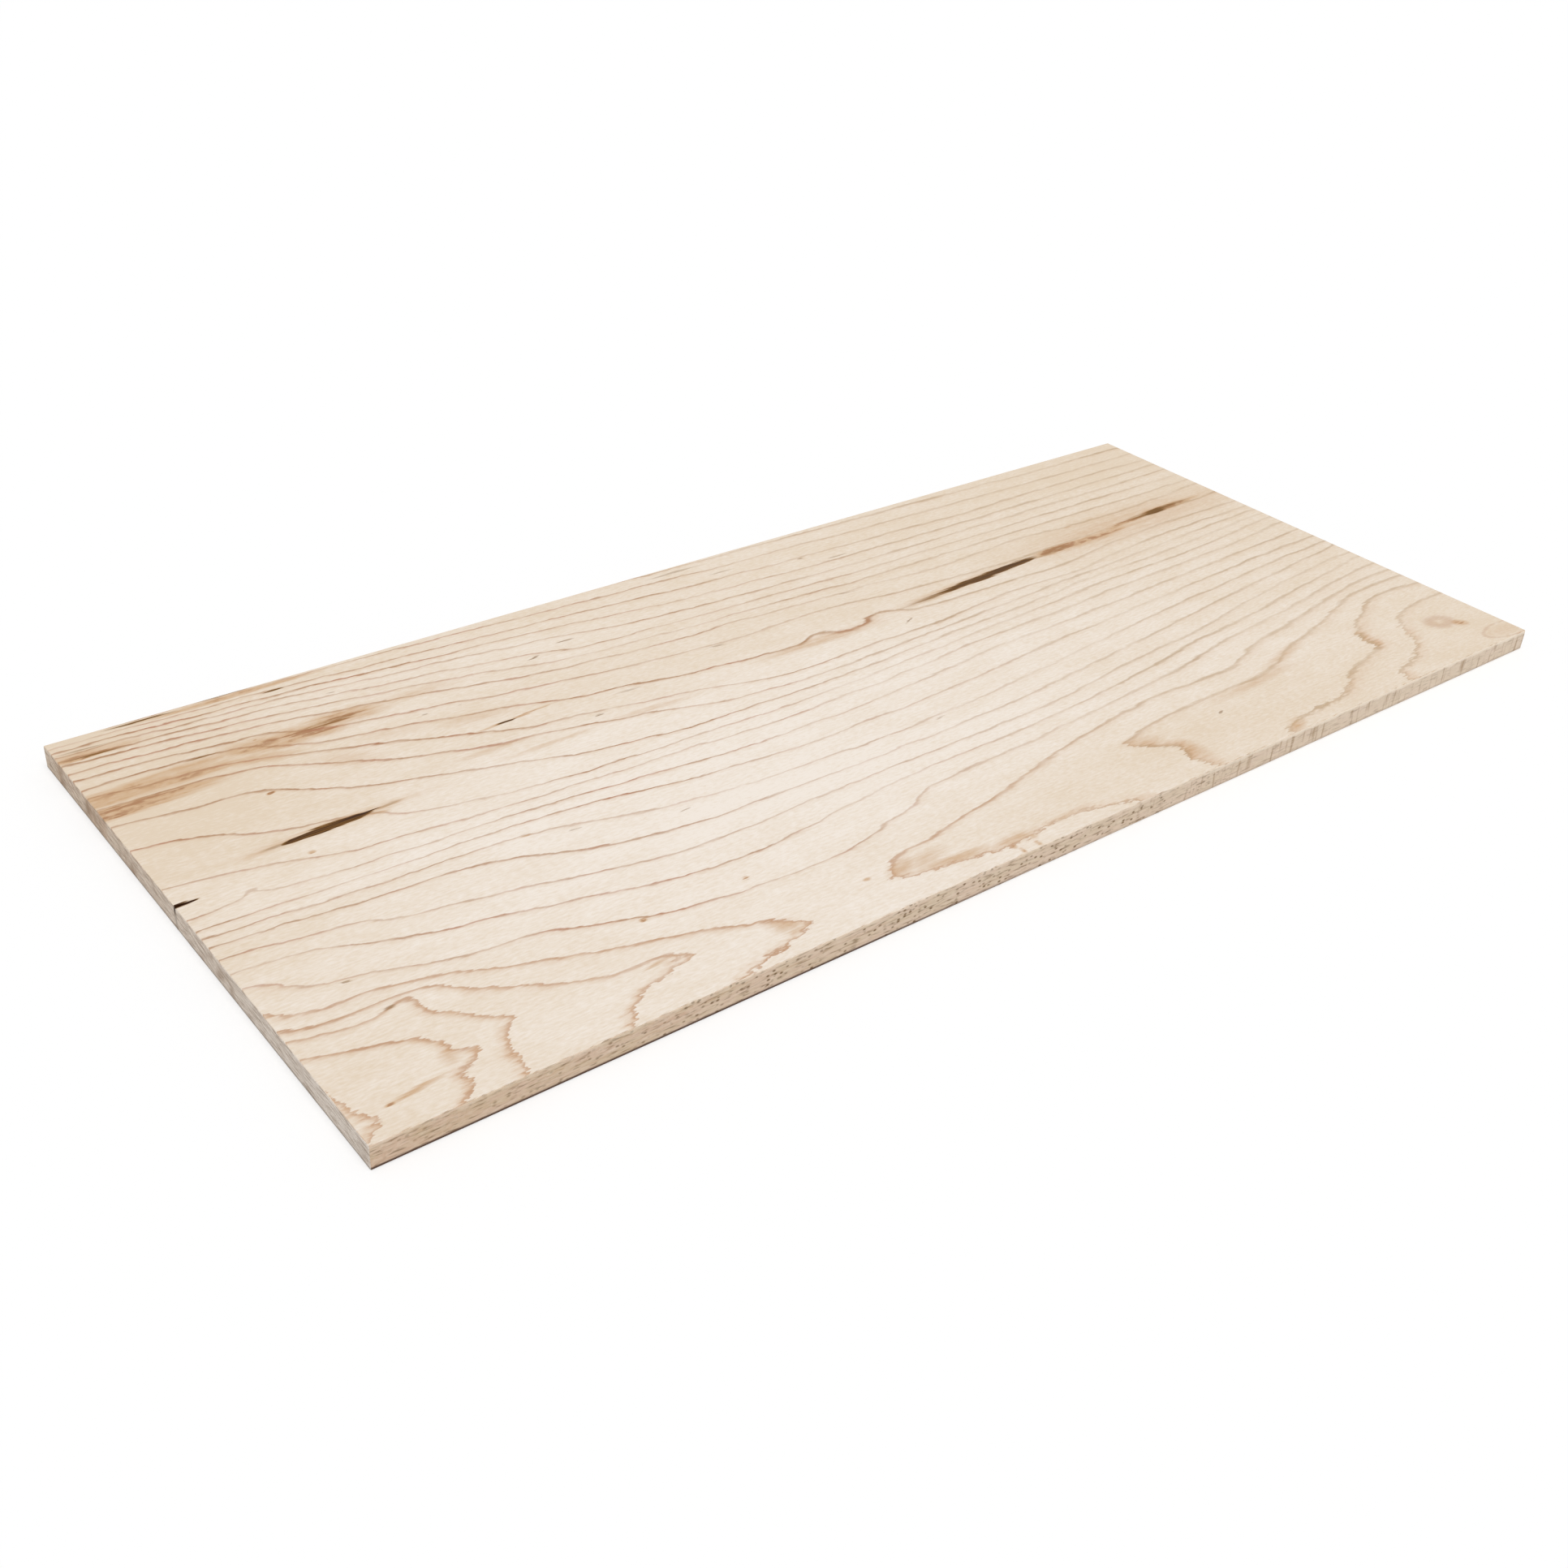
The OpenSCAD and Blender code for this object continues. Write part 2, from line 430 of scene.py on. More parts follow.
# Streaks of minerals, and the painted shade of the drying crack's gap. Each mark is: along, across, length,
# thickness, turn in degrees, softness of its rim and strength.
STREAKS_AND_CRACK_SHADE = (
    # The drying crack: painted shade of its dark gap, around its mouth
    (0, CRACK_ACROSS, 10, 1.25, 0, 0.3, 1.0),
    # The short streak near the left end, and its faint tails
    (33.8, 80.2, 19, 2.3, 3, 0.3, 0.94),
    (28.5, 79.8, 12, 1.5, 3, 0.4, 0.94),
    (39.2, 80.8, 12, 0.9, 2, 0.5, 1.0),
    (22, 79.6, 8, 1.1, 3, 1.0, 0.22),
    (46, 80.9, 8, 1.4, 5, 1.0, 0.18),
    # The two streaks at the right, and the brown wood between them
    (213.5, 92.0, 42, 2.7, 3.9, 0.45, 0.83),
    (222, 92.6, 24, 2.6, 3.9, 0.3, 0.88),
    (199, 90.9, 40, 2.2, 4.0, 0.9, 0.4),
    (280.3, 96.4, 12, 3.0, 2, 0.5, 0.66),
    (281, 96.6, 34, 2.8, 2, 0.9, 0.5),
    (238, 93.4, 17, 3.0, 3, 0.6, 0.16),
    # The smear at the back left
    (51.5, 114.6, 14, 1.8, 2, 1.0, 0.33),
    (50, 115.0, 20, 3, 4, 1.0, 0.16),
    # Small dashes and specks all over the face
    (80.5, 95.4, 6, 0.9, 3, 0.5, 0.9),
    (98, 87.3, 3, 0.7, 3, 0.6, 0.35),
    (46.5, 133.1, 6, 0.7, 0, 0.6, 0.6),
    (19, 136.0, 18, 0.8, 0, 0.7, 0.7),
    (37, 136.7, 14, 0.7, 0, 0.7, 0.6),
    (5, 131.4, 14, 1.0, -1, 0.9, 0.3),
    (7, 128.5, 14, 0.7, -2, 0.7, 0.45),
    (24, 116.2, 9, 0.7, -1, 0.7, 0.4),
    (160, 128.4, 9, 0.6, -2, 0.6, 0.2),
    (150, 134.2, 22, 1.0, 0, 0.8, 0.2),
    (109.5, 118.8, 6, 0.6, 0, 0.6, 0.35),
    (99.5, 115.8, 4.5, 0.6, 10, 0.6, 0.35),
    (63, 123.3, 3, 0.5, 3, 0.7, 0.2),
    (46, 122.6, 4, 0.4, 0, 0.7, 0.15),
    (56, 125.7, 2.5, 0.5, -5, 0.7, 0.2),
    (68, 107.2, 2, 0.5, -5, 0.7, 0.25),
    (76, 106.6, 1.5, 0.5, 10, 0.7, 0.2),
    (109, 92.7, 9, 0.9, 0, 0.8, 0.25),
    (137, 98.5, 6, 0.7, -8, 0.6, 0.2),
    (182, 84.4, 5, 0.6, 24, 0.6, 0.3),
    (178, 103.6, 8, 0.6, -10, 0.6, 0.2),
    (181, 124, 2.5, 0.9, 0, 0.6, 0.3),
    (190, 120.3, 7, 0.7, 0, 0.6, 0.2),
    (29.8, 96.9, 1.4, 0.5, 10, 0.8, 0.35),
    (211, 15, 2.5, 0.8, 15, 0.6, 0.3),
    (158, 47, 4, 0.6, 8, 0.6, 0.2),
    (92, 48, 3.5, 0.5, 5, 0.6, 0.2),
    (71, 54, 3.5, 0.5, -10, 0.6, 0.2),
    (15, 37, 4, 0.5, -12, 0.6, 0.3),
    (17.6, 27, 3.2, 1.3, 10, 0.8, 0.3),
)
# Golden and brown stains: the same seven values
STAINS = (
    # The golden bands at the back left, and the smear they end in
    (6, 111.8, 66, 7, -1, 0.5, 0.74),
    (14, 113.8, 46, 4.6, 3, 0.6, 0.62),
    (3, 106.5, 58, 6.2, 1, 0.6, 0.9),
    (37, 113.8, 30, 8.6, -8, 0.7, 0.8),
    (33, 109.6, 24, 6, -14, 0.9, 0.6),
    (45.5, 113.8, 24, 8.6, -10, 0.8, 0.95),
    (53, 115.3, 31, 9, 0, 1.0, 0.95),
    (35, 116.6, 1.8, 1.0, 0, 0.8, 1.0),
    (52, 114.7, 16, 2.2, 2, 0.9, 1.0),
    (70, 116, 34, 5, 0, 1.0, 0.4),
    # Faint clouds in front of the smear
    (47, 100, 22, 9, -25, 1.0, 0.3),
    (76, 100.5, 26, 6, -5, 1.0, 0.32),
    (60, 104, 24, 6, -15, 1.0, 0.22),
    # Along the back edge, at the left
    (38, 135.5, 54, 2.4, 0.3, 0.7, 0.75),
    (4, 128.8, 18, 2.6, -1, 0.5, 0.92),
    (7, 129.5, 28, 4.5, -2, 0.7, 0.5),
    # Around the two streaks at the right
    (240, 93.6, 25, 4.6, 3, 0.6, 1.0),
    (252, 93.2, 52, 6.5, 2, 0.8, 0.8),
    (267, 95.5, 38, 3.2, 3.5, 0.8, 0.98),
    (284, 96.8, 44, 5, 1, 0.85, 1.0),
    (270, 95.5, 130, 24, 1, 1.0, 0.45),
    (252, 101.7, 7, 1.1, 1, 0.9, 0.5),
    (261, 102, 5, 0.9, 0, 0.9, 0.45),
    (194, 101.9, 2.5, 0.9, 0, 0.9, 0.4),
    (205, 91.6, 70, 5, 4, 0.9, 0.6),
    (160, 87.8, 52, 5, 0, 0.9, 0.5),
    # Around the short streak near the left end
    (34, 80.4, 54, 4.2, 2, 0.9, 0.6),
    (19.5, 79.3, 16, 2.6, 6, 1.0, 0.5),
    (45.5, 80.8, 14, 2.2, 4, 0.9, 0.7),
    (43, 79.6, 7, 1.4, -10, 0.9, 0.6),
    # Along single lines in the middle
    (83, 95.8, 30, 1.1, 5.5, 0.8, 0.85),
    (73, 87.5, 24, 3, 0, 0.9, 0.35),
    (108, 83.6, 32, 3, -2, 0.9, 0.35),
    (84, 83.2, 34, 2, 2, 0.8, 0.35),
    # Small spots and dashes
    (29.3, 96.8, 2.8, 1.4, 10, 0.6, 1.0),
    (11.6, 7, 14.5, 1.8, 7, 0.8, 0.8),
    (7, 6.4, 3, 1.4, 5, 0.8, 0.9),
    (65.3, 23.3, 2.2, 1.2, 0, 0.7, 1.0),
    (88, 23.3, 2.4, 1.3, 0, 0.7, 0.9),
    (106.3, 10.5, 2.6, 1.3, 0, 0.7, 0.75),
    (27, 74.5, 2.2, 1.4, 0, 0.8, 0.8),
    (62, 57.3, 3, 0.8, 0, 0.7, 0.8),
    # The tan tips and inner sides of the loops
    (85, 7.6, 10, 6.5, -25, 1.0, 0.5),
    (60, 11.7, 9, 1.3, 6, 0.9, 0.55),
    (19.6, 10.6, 5, 6, 0, 1.0, 0.5),
    (268, 20.5, 6, 14, -15, 1.0, 0.2),
    (119, 9.2, 18, 6.5, 10, 1.0, 0.5),
    (244, 24.5, 30, 4.4, 15, 1.0, 0.45),
    (114.5, 9.6, 12, 6.5, 12, 0.9, 0.6),
    (124, 6.4, 32, 4, -6, 1.0, 0.62),
    (138, 4.8, 18, 4.4, 0, 1.0, 0.7),
    (154, 5, 20, 2.4, 3, 1.0, 0.4),
    (136.7, 2.9, 2.2, 2.6, 0, 1.0, 0.75),
    (137.3, 0.9, 1.7, 3.2, 0, 1.0, 0.75),
    (142.3, 3.4, 3, 2.6, 0, 1.0, 0.8),
    (141.5, 1.2, 1.9, 3.4, 0, 1.0, 0.75),
    (187, 16, 14, 6, -12, 1.0, 0.5),
    (194, 7, 8, 15, 0, 1.0, 0.45),
    (228, 19.5, 44, 5, 3, 1.0, 0.4),
    (221, 2.2, 10, 5, 25, 1.0, 0.65),
    # The eye near the right front corner, and the oval in the corner itself
    (294.5, 11.3, 6.2, 4, -25, 0.8, 0.9),
    (289.8, 14, 9, 6.4, -12, 1.0, 0.25),
    (301, 3.4, 17, 6, -3, 0.5, 0.22),
)
# Knots cut across show as faint rings: the same seven values
RINGS = (
    (290.5, 14.4, 11.5, 8, -12, 1.0, 1.0),
    (302.5, 3.2, 20, 7, -3, 0.25, 1.0),
)
# Broad areas of slightly deeper wood: the same seven values
TAN_AREAS = (
    (140, 97, 420, 44, 0, 1.0, 0.3),
    (20, 100, 120, 70, 0, 1.0, 0.3),
    (185, 11, 200, 40, 0, 1.0, 0.33),
)
# Stretches where a year's line is thick and dark: the same seven values
DARK_STRETCHES = (
    (163, 89.6, 58, 8, 0, 0.5, 1.0),
    (56, 51, 30, 8, -20, 0.6, 0.8),
    (123, 22.5, 12, 5, 15, 0.6, 0.7),
    (132, 25, 8, 5, 15, 0.6, 0.7),
    (148, 18.3, 14, 5, 8, 0.6, 0.7),
    (164, 22, 12, 5, 12, 0.6, 0.7),
    (40, 113, 60, 12, -8, 0.6, 0.6),
    (23, 24.5, 8, 8, 0, 0.6, 0.8),
    (3, 36.5, 12, 5, 0, 0.6, 0.7),
    (60, 86, 60, 16, -12, 0.6, 0.5),
    (8, 90, 30, 8, -8, 0.6, 0.6),
    (10, 77, 30, 6, -8, 0.6, 0.6),
    (243, 7, 64, 9, 12, 0.6, 0.65),
    (45, 100, 190, 80, 0, 0.7, 0.8),
    (72, 45, 76, 30, -8, 0.8, 0.8),
    (15, 122, 70, 32, 0, 0.6, 1.0),
    (100, 95, 60, 14, -4, 0.6, 1.0),
    (267, 18, 10, 16, 0, 0.6, 0.9),
    (190, 11, 20, 22, 0, 0.6, 0.9),
)
# Areas where the lines are fainter: the same seven values
FAINT_AREAS = (
    (160, 48, 140, 72, 3, 0.5, 0.38),
)
# How far a mark goes down into the wood, from the upper face
MARK_REACH_DOWN = 8.0


def marks(place, fibre, table):
    """The strongest of many marks: each is an ellipse whose rim fades in over its softness.

    Fibres run in and out of the rim, as far as the noise fibre says.
    """
    strongest = None
    for along, across, length, thickness, turn, softness, strength in table:
        local = place.node("Mapping", {"vector_type": "TEXTURE"}, {
            "Vector": place, "Location": (along, across, THICKNESS), "Rotation": (0, 0, math.radians(turn)),
            "Scale": (length / 2, thickness / 2, MARK_REACH_DOWN)})
        depth = place.node("TexGradient", {"gradient_type": "SPHERICAL"}, {"Vector": local}, 1)
        mark = (depth * fibre).fade(0.0, softness, 0.0, strength)
        strongest = mark if strongest is None else place.math("MAXIMUM", strongest, mark)
    return strongest


PALE_WOOD = paint(241, 231, 220)
DEEP_WOOD = paint(225, 207, 184)
# The face is palest here, partly in the wood's own tone and partly as a painted sheen, and deepens over
# these lengths in each direction and close to the left end
SHEEN_AND_PALEST_PLACE = (105, 48, 0)
SHEEN_AND_PALEST_REACH = (190, 90, 1000)
LEFT_DEEPER = 60
# Lumps of its unevenness, from broad to fine
TONE_LUMP = (90, 14)
CLOUD_LUMP = (8, 3.5)
FLECK_LUMP = (1.6, 0.5)
SPECK_LUMP = (1.6, 0.18)


def pale_ground(place, fibre):
    """Pale wood that deepens with the distance from its palest place, which is counted in reaches. That
    paleness is partly the wood's own tone and partly a painted sheen.

    Broad tones, clouds, flecks, fibres and tan areas add to that or take from it. Fine specks lie on top.
    """
    # Partly painted sheen: the face is palest around this place and deepens away from it
    palest = place.node("Mapping", {"vector_type": "TEXTURE"}, {
        "Vector": place, "Location": SHEEN_AND_PALEST_PLACE, "Scale": SHEEN_AND_PALEST_REACH})
    from_sheen_and_palest = place.node("VectorMath", {"operation": "LENGTH"}, {"Vector": palest}, 1)
    left_end = place.axis(ALONG).fade(LEFT_DEEPER, 0)
    tone = swing(place, TONE_LUMP, seed=31)
    cloud = swing(place, CLOUD_LUMP, detail=3, seed=37)
    fleck = swing(place, FLECK_LUMP, detail=3, seed=47)
    speck = grain_noise(place, SPECK_LUMP, detail=1, seed=51)
    deep = (from_sheen_and_palest * 0.72 + left_end * 0.2 + tone * 0.5 + cloud * 0.7 + fleck * 1.4
            + (fibre - 0.5) * 0.5 + marks(place, 1.0, TAN_AREAS))
    return lay(lay(PALE_WOOD, DEEP_WOOD, deep), DEEP_WOOD, speck.fade(0.62, 0.75) * 0.5)


# Years over which a line turns from a long one to a loop
LOOP_YEARS = (0.3, -0.7)
# The lines grow wider and fainter towards the right, over this stretch
SOFT_STRETCH = (110, 240)
# Loops fray close to the front edge
FRAYED_STRIP = (15, 5)
# Lumps of the noises that shift the lines along the grain, and of those that shift them across it, each with
# how far it does
SLIP_LUMPS = ((12, 2.8), (8, 0.7), (4, 0.4))
WANDER_LUMP = (9, 3)
LINE_WANDER = 1.4
TREMOR_LUMP = (2.6, 0.9)
LINE_TREMOR = 0.8
FRAY_LUMP = (2.0, 0.8)
LINE_FRAY = 3.0
# Widths of a line before and after its year's end, and of the tan wood before it: everywhere, and more where
# the line crosses the grain
LINE_WIDTH = 0.4
LINE_END_WIDTH = 0.25
LATE_WIDTH = 1.5
LATE_WIDTH_CROSSING = 1.6
# Each line is stronger and weaker by turns, about this far apart, and not in step with the next one
VIGOUR_LENGTH = 40
VIGOUR_STEP = 5.3
# A slower pace of the years than this, for each millimetre, counts as this
LEAST_PACE = 0.02


def year_lines(place, in_plane):
    """How thickly the dark line that ends each year lies at a place, and the tan wood before it.

    The part of a year that is gone there, or is still to come, over the years' pace gives the distance from
    the line. The years are stirred first: a line slips along the grain where it crosses the grain, wanders
    across it everywhere, and frays near the front edge. Line and tan wood fade out with the distance over
    their widths, times the line's own vigour. Also gives how far the line is a loop, and how soft it is.
    """
    along = place.axis(ALONG)
    years = place.node("Attribute", {"attribute_name": "growth"}, output=2)
    slope = place.node("Attribute", {"attribute_name": "growth_slope"}, output=1)
    seen_slope = place.node("VectorMath", {"operation": "MULTIPLY"}, {
        "Vector": slope, "Vector_001": in_plane})
    steepness = place.node("VectorMath", {"operation": "LENGTH"}, {"Vector": seen_slope}, 1)
    pace = place.math("MAXIMUM", steepness, LEAST_PACE)
    slope_along = seen_slope.axis(ALONG)
    crossing = place.math("ABSOLUTE", slope_along) / pace
    looped = years.fade(*LOOP_YEARS)
    soft = along.fade(*SOFT_STRETCH)
    frayed = looped * place.axis(ACROSS).fade(*FRAYED_STRIP)

    slip = (swing(place, SLIP_LUMPS[0], seed=5) * (looped * 2.0 + 1.5)
            + swing(place, SLIP_LUMPS[1], detail=3, seed=7) * (looped * (soft * 3.0 + 1.4) + 0.6)
            + swing(place, SLIP_LUMPS[2], seed=13) * looped * 2.0)
    wander = (swing(place, WANDER_LUMP, seed=3) * LINE_WANDER
              + swing(place, TREMOR_LUMP, seed=9) * LINE_TREMOR
              + swing(place, FRAY_LUMP, detail=3, seed=17) * frayed * LINE_FRAY)
    stirred = years + slip * slope_along + wander * pace
    gone = place.math("FRACT", stirred)
    after = gone / pace
    before = (1 - gone) / pace

    year_and_place = place.node("CombineXYZ", {}, {
        "X": along / VIGOUR_LENGTH, "Y": place.math("ROUND", stirred) * VIGOUR_STEP})
    vigour_noise = place.node("TexNoise", {}, {"Vector": year_and_place, "Scale": 1.0})
    own_vigour = vigour_noise.fade(0.3, 0.7, 0.3, 1.0)
    stretch = marks(place, 1.0, DARK_STRETCHES)
    faint = marks(place, 1.0, FAINT_AREAS)
    vigour = place.math("MAXIMUM", own_vigour * (1 - soft * 0.36), stretch) * (1 - faint)
    vigour = place.math("MAXIMUM", vigour, looped * (0.75 - soft * 0.3))

    line_width = looped * 0.3 + crossing * 0.4 + soft * 0.34 + stretch * 0.3 + LINE_WIDTH
    line_end_width = soft * 0.26 + LINE_END_WIDTH
    line = (before / line_width).fade(1.0, 0.1) + (after / line_end_width).fade(1.0, 0.0)
    late_width = crossing * (soft * 2.5 + LATE_WIDTH_CROSSING) + soft + looped * 0.4 + LATE_WIDTH
    late = (before / late_width).fade(1.0, 0.0) ** 1.5
    turning = looped * crossing
    line_amount = line * vigour * (1 - turning * 0.3)
    late_amount = late * vigour * (turning * 0.7 + 0.4)
    return line_amount, late_amount, looped, soft


LATE_WOOD = paint(212, 180, 150)
YEAR_LINE = paint(172, 130, 96)
RED_LINE = paint(176, 120, 92)
FAINT_LINE = paint(178, 152, 114)
LOOP_LINE = paint(188, 146, 114)
GOLDEN_STAIN = paint(199, 158, 114)
BROWN_STAIN = paint(174, 130, 94)
STREAK_AND_CRACK_BROWN = paint(140, 97, 34)
STREAK_AND_CRACK_DARK = paint(56, 26, 0)
# Lumps of the fibres, of the tan wood's mottling, of breaks in a line and of its red stretches
FIBRE_LUMP = (16, 0.22)
MOTTLE_LUMP = (2.6, 0.9)
BREAK_LUMP = (6, 2)
RED_LUMP = (14, 6)
# Stains and streaks have a rim that is ragged by so much, and strands, bands and stripes along the grain
RAGGED_RIM = 1.2
RAGGED_LUMP = (7, 0.5)
STRAND_LUMP = (20, 0.55)
BAND_LUMP = (14, 1.6)
STRIPE_LUMP = (14, 0.35)


def maple(name, in_plane):
    """Starts a material of bare wood, and gives it with the place in millimetres, its colour and its fibres.

    Colours are laid in this order: the pale ground, with a painted sheen in it, tan wood before each line,
    stains, rings of knots, the lines and the streaks of minerals, among them the crack's painted shade.
    Deeper inside their marks, stains turn from golden to brown, and streaks from brown to nearly black.
    in_plane is 1 for each direction (along, across, up) that lies in the surface, and 0 for the other one.
    """
    material = bpy.data.materials.new(name)
    material.use_nodes = True
    start = Signal(material.node_tree)
    place = start.node("Mapping", {}, {
        "Vector": start.node("TexCoord", output=3), "Location": tuple(origin_place),
        "Scale": (1 / MM, 1 / MM, 1 / MM)})
    fibre = grain_noise(place, FIBRE_LUMP, detail=3, seed=41)
    mottle = grain_noise(place, MOTTLE_LUMP, detail=3, seed=71).fade(0.3, 0.65, 0.6, 1.3)
    broken = grain_noise(place, BREAK_LUMP, detail=3, seed=23).fade(0.3, 0.6, 0.55, 1.0)
    line, late, looped, soft = year_lines(place, in_plane)
    colour = lay(pale_ground(place, fibre), LATE_WOOD, late * mottle)

    ragged = place.node("CombineXYZ", {}, {"Y": swing(place, RAGGED_LUMP, seed=61) * RAGGED_RIM})
    streaky = place.node("VectorMath", {"operation": "ADD"}, {"Vector": place, "Vector_001": ragged})
    strands = grain_noise(place, STRAND_LUMP, detail=1, seed=43).fade(0.25, 0.75, 0.5, 1.5)
    bands = grain_noise(place, BAND_LUMP, detail=3, seed=67).fade(0.3, 0.7, 0.78, 1.12)
    stain = marks(streaky, strands * 0.35 + 0.65, STAINS) * bands * (mottle * 0.5 + 0.5)
    colour = lay(colour, lay(GOLDEN_STAIN, BROWN_STAIN, stain.fade(0.72, 0.96)), stain)
    knot = marks(streaky, 1.0, RINGS)
    colour = lay(colour, LOOP_LINE, knot * (1 - knot) * broken * 1.6)

    reddish = grain_noise(place, RED_LUMP, seed=77).fade(0.45, 0.65)
    line_colour = lay(lay(YEAR_LINE, RED_LINE, reddish), LOOP_LINE, looped)
    line_colour = lay(line_colour, FAINT_LINE, soft * 0.8)
    colour = lay(colour, line_colour, line * broken)

    # Streaks of minerals, with the painted shade around the crack's mouth
    streak_and_crack_shade = marks(streaky, strands, STREAKS_AND_CRACK_SHADE)
    stripes = grain_noise(place, STRIPE_LUMP, detail=1, seed=75).fade(0.3, 0.5, 0.5, 1.0)
    colour = lay(colour, STREAK_AND_CRACK_BROWN, place.math("MINIMUM", streak_and_crack_shade * 1.8, 1.0))
    colour = lay(colour, STREAK_AND_CRACK_DARK, streak_and_crack_shade ** 1.7 * stripes)
    return material, place, colour, fibre


BARE_WOOD_GLOSS = 0.15
PLANED_ROUGHNESS = 0.45
SAWN_ROUGHNESS = 0.6
ROUGHNESS_SPREAD = 0.2
PLANED_RELIEF = 0.02
SAWN_RELIEF = 0.05


def finish_of(material, colour, roughness, height, relief):
    """Joins colour, roughness and a bump, as high as height times relief, to the material's shader."""
    shader = material.node_tree.nodes["Principled BSDF"]
    shader.inputs["Specular IOR Level"].default_value = BARE_WOOD_GLOSS
    bump = height.node("Bump", {}, {"Height": height, "Strength": 1.0, "Distance": relief * MM})
    for socket, signal in (("Base Color", colour), ("Roughness", roughness), ("Normal", bump)):
        material.node_tree.links.new(signal.socket, shader.inputs[socket])


# Painted shade of the drying crack's gap
CRACK_PAINTED_SHADE = paint(40, 22, 12)
# Painted shade inside the crack: its walls darken from the first depth under the face to the second
CRACK_SHADING_DEPTHS = (0.1, 0.5)
# The underside is clear of that: below the second height the shade goes out, and it is gone at the first
CRACK_CLEARS = (1.0, 2.0)


def planed_face():
    """Planed maple, with its fibres in its gloss and its bump. Wood down inside the crack is painted dark as
    shade.
    """
    material, place, colour, fibre = maple("planed_maple_face", (1, 1, 0))
    up = place.axis(UP)
    # Painted shade down inside the crack
    below_face = up.fade(THICKNESS - CRACK_SHADING_DEPTHS[0], THICKNESS - CRACK_SHADING_DEPTHS[1])
    above_underside = up.fade(*CRACK_CLEARS)
    colour = lay(colour, CRACK_PAINTED_SHADE, below_face * above_underside)
    finish_of(material, colour, fibre * ROUGHNESS_SPREAD + PLANED_ROUGHNESS, fibre, PLANED_RELIEF)
    return material


# The edge's two wood tones are darker than the face, partly in the sawn wood's own tone and partly as
# painted shade
EDGE_WOOD_AND_SHADE = paint(203, 179, 149)
EDGE_PALE = paint(231, 217, 200)
EDGE_PINK_AND_SHADE = paint(209, 182, 158)
EDGE_FLECK = paint(118, 92, 60)
EDGE_RIM = paint(236, 222, 204)
EDGE_BAR = paint(172, 146, 118)
# Painted contact shadow along the foot of the edge
EDGE_FOOT_SHADOW = paint(72, 46, 34)
# The edge grows paler to the right, along this stretch
EDGE_PALER = (0, 300)
# Ray flecks, each in a cell of this length and height, come in and go out along these stretches
FLECK_CELL = (1.35, 0.8)
FLECKS_COME = (10, 80)
FLECKS_GO = (215, 165)
# Upright saw bars, so wide and so tall, come in along this stretch
SAW_BAR = (1.1, 9.0)
SAW_BARS_COME = (150, 200)
# Towards the right dark dashes give way to a torn rim along the top, over this stretch and these heights
RIM_COMES = (150, 230)
RIM_HEIGHT = (4.1, 4.6)
RIM_TEAR = 1.6
# Painted contact shadow lies along the foot, between these heights, and more of it to the left
FOOT_SHADOW_HEIGHT = (0.85, 0.4)
FOOT_SHADOW_COMES = (160, 90)
# Lumps of the wood's two tones, of the dashes and of the tears in the rim
PATCH_LUMP = (7, 2)
DASH_LUMP = (3, 0.45)
TEAR_LUMP = (3, 3)


def sawn_edge():
    """Sawn maple, with the saw's upright bars in its bump.

    Over the growth come, in this order: the edge's own wood in two tones, darker partly as painted shade and
    paler to the right; saw bars; dark and pale dashes; ray flecks, each a spot in its own cell; a torn pale
    rim along the top; and a painted contact shadow along the foot.
    """
    material, place, colour, fibre = maple("sawn_maple_edge", (1, 0, 1))
    along = place.axis(ALONG)
    up = place.axis(UP)
    patches = grain_noise(place, PATCH_LUMP, seed=83).fade(0.4, 0.6)
    # The edge's own wood, darkened partly as painted shade
    colour = lay(colour, lay(EDGE_WOOD_AND_SHADE, EDGE_PINK_AND_SHADE, patches), 0.75)
    colour = lay(colour, EDGE_PALE, along.fade(*EDGE_PALER, 0.0, 0.55))

    bars = place.node("Mapping", {}, {"Vector": place, "Scale": (1 / SAW_BAR[0], 1.0, 1 / SAW_BAR[1])})
    bar = place.node("TexNoise", {}, {"Vector": bars, "Scale": 1.0, "Detail": 2.0}).fade(0.52, 0.72)
    colour = lay(colour, EDGE_BAR, bar * along.fade(*SAW_BARS_COME, 0.0, 0.8))
    dashes = grain_noise(place, DASH_LUMP, seed=87)
    colour = lay(colour, EDGE_FLECK, dashes.fade(0.5, 0.75) * along.fade(*RIM_COMES, 0.75, 0.4))
    colour = lay(colour, EDGE_RIM, dashes.fade(0.45, 0.2) * 0.5)

    cells = place.node("Mapping", {}, {
        "Vector": place, "Scale": (1 / FLECK_CELL[0], 1.0, 1 / FLECK_CELL[1])})
    from_middle = place.node("TexVoronoi", {}, {"Vector": cells, "Scale": 1.0})
    own_draw = from_middle.beside("Color").axis(ALONG)
    fleck = from_middle.fade(0.42, 0.12) * own_draw.fade(0.2, 0.7)
    flecked = along.fade(*FLECKS_COME, 0.45, 1.0) * along.fade(*FLECKS_GO)
    colour = lay(colour, EDGE_FLECK, fleck * flecked * 0.95)

    torn = swing(place, TEAR_LUMP, detail=3, seed=81) * RIM_TEAR + up
    colour = lay(colour, EDGE_RIM, torn.fade(*RIM_HEIGHT) * along.fade(*RIM_COMES, 0.25, 0.9))
    # Painted contact shadow along the foot, darkest towards the left
    colour = lay(colour, EDGE_FOOT_SHADOW, up.fade(*FOOT_SHADOW_HEIGHT) * along.fade(*FOOT_SHADOW_COMES, 0.2, 0.95))
    finish_of(material, colour, fibre * ROUGHNESS_SPREAD + SAWN_ROUGHNESS, bar, SAWN_RELIEF)
    return material


